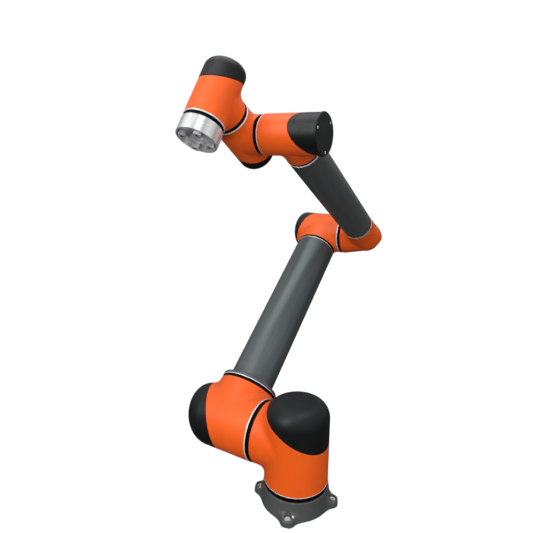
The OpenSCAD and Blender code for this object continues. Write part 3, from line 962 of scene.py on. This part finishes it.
def add_collar():
    """Stepped collar that clamps the upper arm tube on the shoulder module's port."""
    low, high = local_box("upper_arm_collar", ON_UPPER_ARM)
    tube_radius = local_box("upper_arm_tube", ON_UPPER_ARM)[1].y
    rim = low.z + COLLAR_RIM_H
    collar = lathe([
        (tube_radius, low.z, 0),
        (high.y, low.z, 0.5 * MM),
        (high.y, rim, 2.5 * MM),
        (tube_radius + 5 * MM, rim + 0.5 * MM, 7 * MM),
        (tube_radius + 1 * MM, high.z, 0.8 * MM),
        (tube_radius, high.z, 0),
    ])
    piece(
        "upper_arm_collar_skin", collar, ON_UPPER_ARM, "upper_arm", "upper_arm_tube",
        ["upper_arm_collar"],
    )


add_collar()


# ---------------------------------------------------------------- end plate of the first wrist
def socket_screw(head_r, head_h, shank, socket_r, socket_depth):
    """A cap screw with its head's seat at height 0; shank is its (radius, height) outline below."""
    outline = [(0, shank[0][1], 0)]
    outline += [(r, z, 0) for r, z in shank]
    outline += [
        (head_r, 0, 0.3 * MM),
        (head_r, head_h, 0.8 * MM),
        (socket_r * 1.25, head_h, 0),
        (0, head_h - 0.25 * socket_r, 0),
    ]
    body = lathe(outline, 48, 3)
    socket = prism(polygon(socket_r, 6), head_h - socket_depth, head_h + 1 * MM)
    return carved(body, removed=[socket])


def add_end_plate():
    low, high = local_box("wrist_1_cap", AT_WRIST_1)
    radius = high.y
    face = low.z + 0.5 * MM
    plate = lathe([
        (0, face, 0),
        (radius - 3 * MM, face, 0.4 * MM),
        (radius - 2.2 * MM, low.z, 0.4 * MM),
        (radius - 1.4 * MM, low.z, 0.8 * MM),
        (radius, low.z + 1.6 * MM, 0.8 * MM),
        (radius, low.z + END_PLATE_H, 0.5 * MM),
        (0, low.z + END_PLATE_H, 0),
    ])
    turns = [END_SCREW_TURN + 360 / END_SCREWS * k for k in range(END_SCREWS)]
    seat_floor = low.z + END_SEAT_DEPTH
    seat = prism(polygon(1.7 * END_SCREW_R, 40), low.z - 1 * MM, seat_floor)
    seats = [turned_about(seat, turn, END_SCREW_RING) for turn in turns]
    plate = carved(plate, removed=seats)
    piece("wrist_1_end_plate", plate, AT_WRIST_1, "forearm", "black_cover", ["wrist_1_cap"])
    shank = ((0.8 * MM, -1.8 * MM), (0.8 * MM, 0))
    screw = socket_screw(1.5 * END_SCREW_R, 1.5 * MM, shank, 0.7 * END_SCREW_R, 0.9 * MM)
    screw = moved(screw, Matrix.Translation((0, 0, seat_floor)) @ Matrix.Rotation(math.pi, 4, "X"))
    screws = [turned_about(screw, turn, END_SCREW_RING) for turn in turns]
    piece(
        "wrist_1_end_screws", together(*screws), AT_WRIST_1, "forearm", "fastener_steel",
        ["wrist_1_cap_screws"],
    )


add_end_plate()


# ---------------------------------------------------------------- base flange
def base_field(height):
    """Conical hub with four blunt ears on its diagonals, flared into it on all sides."""

    def field(points):
        x, y, z = points.T
        around = np.hypot(x, y)
        hub = around - (HUB_FOOT_R + (HUB_TOP_R - HUB_FOOT_R) * z / height)
        out = (np.abs(x) + np.abs(y)) / math.sqrt(2)
        side = np.abs(np.abs(x) - np.abs(y)) / math.sqrt(2)
        ear = round_corner(out - EAR_REACH, side - EAR_HALF_W, EAR_CORNER)
        ear = round_corner(ear, z - EAR_H, 2.5 * MM)
        flare = EAR_BLEND * np.clip(1.1 - z / height, 0.2, 1)
        flank = soft_union(hub, ear, flare)
        return round_corner(round_corner(flank, z - height, 1 * MM), -z, 1 * MM)

    return field


def base_bolt():
    """A cap screw on the seat in an ear, with a thread that comes out below the flange."""
    end = -BOLT_OUT - BOLT_SEAT
    thread = [(BOLT_R - 0.8 * MM, end)]
    for k in range(int(BOLT_OUT / BOLT_PITCH)):
        start = end + k * BOLT_PITCH
        thread += [
            (BOLT_R - 0.6 * MM, start + 0.1 * BOLT_PITCH),
            (BOLT_R, start + 0.6 * BOLT_PITCH),
        ]
    thread += [(BOLT_R - 0.5 * MM, -BOLT_SEAT), (BOLT_R - 0.5 * MM, 0)]
    bolt = socket_screw(BOLT_HEAD_R, BOLT_HEAD_H, thread, 0.85 * BOLT_R, BOLT_R)
    return moved(bolt, Matrix.Translation((0, 0, BOLT_SEAT)))


def add_base():
    height = local_box("base_flange", ON_BASE)[1].z
    over = 3 * BIG_STEP
    room_low = (-EAR_REACH, -EAR_REACH, -over)
    room_high = (EAR_REACH, EAR_REACH, height + over)
    points, quads = surface_net(base_field(height), room_low, room_high, BIG_STEP)
    inside = lathe([
        (0, -CUT_OVER, 0),
        (BASE_BORE_R, -CUT_OVER, 0),
        (BASE_BORE_R, height - BASE_ROOF, 2 * MM),
        (CABLE_R, height - BASE_ROOF, 0),
        (CABLE_R, height + CUT_OVER, 0),
        (0, height + CUT_OVER, 0),
    ])
    pocket = lathe([
        (0, -CUT_OVER, 0),
        (BOLT_HOLE_R, -CUT_OVER, 0),
        (BOLT_HOLE_R, BOLT_SEAT, 0),
        (POCKET_R, BOLT_SEAT, 0),
        (POCKET_R, height, 0),
        (0, height, 0),
    ], 64)
    dowel_hole = lathe([
        (0, -CUT_OVER, 0),
        (DOWEL_R, -CUT_OVER, 0),
        (DOWEL_R, height, 0),
        (0, height, 0),
    ], 40)
    dowel_hole = turned_about(dowel_hole, DOWEL_TURN, DOWEL_REACH)
    ring = BOLT_PLACE * math.sqrt(2)
    turns = quarter_turns(45)
    holes = [turned_about(hole, turn, ring) for turn in turns for hole in (pocket, dowel_hole)]
    flange = carved((points, quads.tolist()), removed=[inside, *holes])
    piece("base_flange_casting", flange, ON_BASE, "base", "cast_base", ["base_flange"])
    bolt = base_bolt()
    bolts = [turned_about(bolt, turn, ring) for turn in turns]
    piece("base_screws", together(*bolts), ON_BASE, "base", "fastener_steel", ["base_bolts"])
    dowel_r = DOWEL_R - 0.05 * MM
    dowel_top = EAR_H + DOWEL_PROUD
    dowel = lathe([
        (0, 0, 0),
        (dowel_r, 0, 0.3 * MM),
        (dowel_r, dowel_top, 0.7 * MM),
        (0, dowel_top, 0),
    ], 40)
    dowel = turned_about(dowel, DOWEL_TURN, DOWEL_REACH)
    dowels = [turned_about(dowel, turn, ring) for turn in turns]
    piece("base_dowels", together(*dowels), ON_BASE, "base", "fastener_steel")


add_base()


# ---------------------------------------------------------------- tool flange
def add_tool_flange():
    low, high = local_box("tool_flange", AT_WRIST_3)
    radius = high.y
    inner = radius - TOOL_RIM_W
    floor = high.z - LUG_H
    rim = high.z - LUG_PROUD
    recess_floor = floor - RECESS_DEPTH
    hole_end = high.z - TOOL_HOLE_DEPTH
    chamfer = 0.5 * MM
    cup = lathe([
        (TOOL_BORE_R, low.z, 0.3 * MM),
        (radius, low.z, 0.6 * MM),
        (radius, rim, 0.8 * MM),
        (inner, rim, 0.6 * MM),
        (inner, floor, 1.2 * MM),
        (RECESS_R, floor, 0.5 * MM),
        (RECESS_R, recess_floor, 0.3 * MM),
        (TOOL_BORE_R, recess_floor, 0.5 * MM),
    ])
    outline = rounded_box((LUG_LOW_R, -LUG_W / 2), (LUG_HIGH_R, LUG_W / 2), 1.5 * MM)
    lug = prism(outline, floor - 1 * MM, high.z, chamfer)
    hole = lathe([
        (0, hole_end, 0),
        (TOOL_HOLE_R, hole_end, 0),
        (TOOL_HOLE_R, high.z - chamfer, 0),
        (TOOL_HOLE_R + 2 * chamfer, high.z + chamfer, 0),
        (0, high.z + chamfer, 0),
    ], 48)
    dowel_hole = lathe([
        (0, recess_floor, 0),
        (TOOL_DOWEL_R, recess_floor, 0),
        (TOOL_DOWEL_R, floor - 0.3 * MM, 0),
        (TOOL_DOWEL_R + 0.6 * MM, floor + 0.3 * MM, 0),
        (0, floor + 0.3 * MM, 0),
    ], 40)
    turns = quarter_turns(LUG_TURN)
    lugs = [turned_about(lug, turn) for turn in turns]
    holes = [turned_about(hole, turn, TOOL_HOLE_RING) for turn in turns]
    holes.append(turned_about(dowel_hole, TOOL_DOWEL_TURN, TOOL_DOWEL_RING))
    flange = carved(cup, added=lugs, removed=holes)
    piece("tool_flange_skin", flange, AT_WRIST_3, "tool", "tool_aluminium", ["tool_flange"], sharp=30)
    # Black thread inserts line the lug holes; their black also stands in for the shade inside the holes, as
    # painted shade.
    insert_top = high.z - 0.7 * MM
    insert = lathe([
        (0, hole_end, 0),
        (TOOL_HOLE_R, hole_end, 0),
        (TOOL_HOLE_R, insert_top, 0),
        (THREAD_R, insert_top, 0),
        (THREAD_R, hole_end + 2 * MM, 0),
        (0, hole_end + 1.5 * MM, 0),
    ], 40)
    inserts = [turned_about(insert, turn, TOOL_HOLE_RING) for turn in turns]
    piece("tool_thread_inserts_and_hole_shade", together(*inserts), AT_WRIST_3, "tool", "black_cover")


add_tool_flange()


# ---------------------------------------------------------------- carried-over CAD nodes
slots = {subpart["node"]: subpart["material_slot"] for subpart in frame["record"]["subparts"]}
for node_name, node_object in frame["nodes"].items():
    node_object.data.materials.clear()
    node_object.data.materials.append(MATERIALS[slots[node_name]])


# ---------------------------------------------------------------- studio
def add_camera():
    camera = bpy.data.cameras.new("camera")
    camera.lens = LENS
    camera.sensor_width = SENSOR
    camera.clip_end = 50
    made = bpy.data.objects.new("camera", camera)
    made.location = CAMERA_PLACE
    made.rotation_euler = (math.radians(90 - CAMERA_TILT), 0, math.radians(CAMERA_PAN - 90))
    bpy.context.scene.collection.objects.link(made)
    bpy.context.scene.camera = made


def add_floor():
    """Pale floor that glows evenly; diffuse and glossy rays from the object pass through it."""
    mesh = bpy.data.meshes.new("floor")
    sides = ((-1, -1), (1, -1), (1, 1), (-1, 1))
    corners = [(x * FLOOR_HALF, y * FLOOR_HALF, -MM) for x, y in sides]
    mesh.from_pydata(corners, [], [(0, 1, 2, 3)])
    made = bpy.data.objects.new("floor", mesh)
    bpy.context.scene.collection.objects.link(made)
    material, tree, shader = new_material("floor")
    shader.inputs["Base Color"].default_value = (FLOOR_TONE, FLOOR_TONE, FLOOR_TONE, 1)
    shader.inputs["Roughness"].default_value = 0.9
    shader.inputs["Emission Color"].default_value = (1, 1, 1, 1)
    shader.inputs["Emission Strength"].default_value = FLOOR_GLOW
    mesh.materials.append(material)
    made.visible_diffuse = False
    made.visible_glossy = False


def add_world():
    """White to the camera; to the object, bright overhead and dark below."""
    world = bpy.data.worlds.new("studio")
    bpy.context.scene.world = world
    world.use_nodes = True
    tree = world.node_tree
    background = tree.nodes["Background"]
    coords = tree.nodes.new("ShaderNodeTexCoord")
    parts = tree.nodes.new("ShaderNodeSeparateXYZ")
    tree.links.new(coords.outputs["Generated"], parts.inputs["Vector"])
    height = spread(tree, parts.outputs["Z"], 0, 1, start=-1, stop=1)
    room = ramp(
        tree, height, (0.2, (0.03, 0.03, 0.033)), (0.47, (0.09, 0.09, 0.095)), (0.55, (0.27, 0.28, 0.29)),
        (0.95, (0.68, 0.69, 0.71)),
    )
    path = tree.nodes.new("ShaderNodeLightPath")
    choice = tree.nodes.new("ShaderNodeMix")
    choice.data_type = "RGBA"
    tree.links.new(path.outputs["Is Camera Ray"], choice.inputs["Factor"])
    tree.links.new(room, choice.inputs["A"])
    choice.inputs["B"].default_value = (1, 1, 1, 1)
    tree.links.new(choice.outputs["Result"], background.inputs["Color"])


def add_light(name, place, target, size, power, glossy=True):
    """A rectangular light aimed at target; without glossy it leaves no highlight."""
    light = bpy.data.lights.new(name, "AREA")
    light.shape = "RECTANGLE"
    light.size = size[0]
    light.size_y = size[1]
    light.energy = power
    made = bpy.data.objects.new(name, light)
    made.location = place
    made.rotation_euler = (Vector(target) - Vector(place)).to_track_quat("-Z", "Y").to_euler()
    made.visible_camera = False
    made.visible_glossy = glossy
    bpy.context.scene.collection.objects.link(made)


middle = (cad_box[0] + cad_box[1]) / 2
pan = math.radians(CAMERA_PAN)
ahead = Vector((math.cos(pan), math.sin(pan), 0))
leftward = Vector((-ahead.y, ahead.x, 0))
upward = Vector((0, 0, 1))

add_camera()
add_floor()
add_world()
front = middle - ahead * LIGHTS_BACK
add_light("key", front + ahead * 0.2 + leftward * 1.3 + upward * 1.2, middle, (0.7, 1.6), 19)
add_light("fill", front - ahead * 0.3 - leftward * 0.8 + upward * 0.4, middle, (0.9, 1.8), 20, glossy=False)
add_light("low", front + leftward * 1.1 - upward * 0.38, wrist_3, (0.8, 0.2), 11, glossy=False)
add_light("top", middle + upward * 1.6, middle, (1.4, 1.4), 13)
bpy.context.scene.view_settings.view_transform = "Standard"
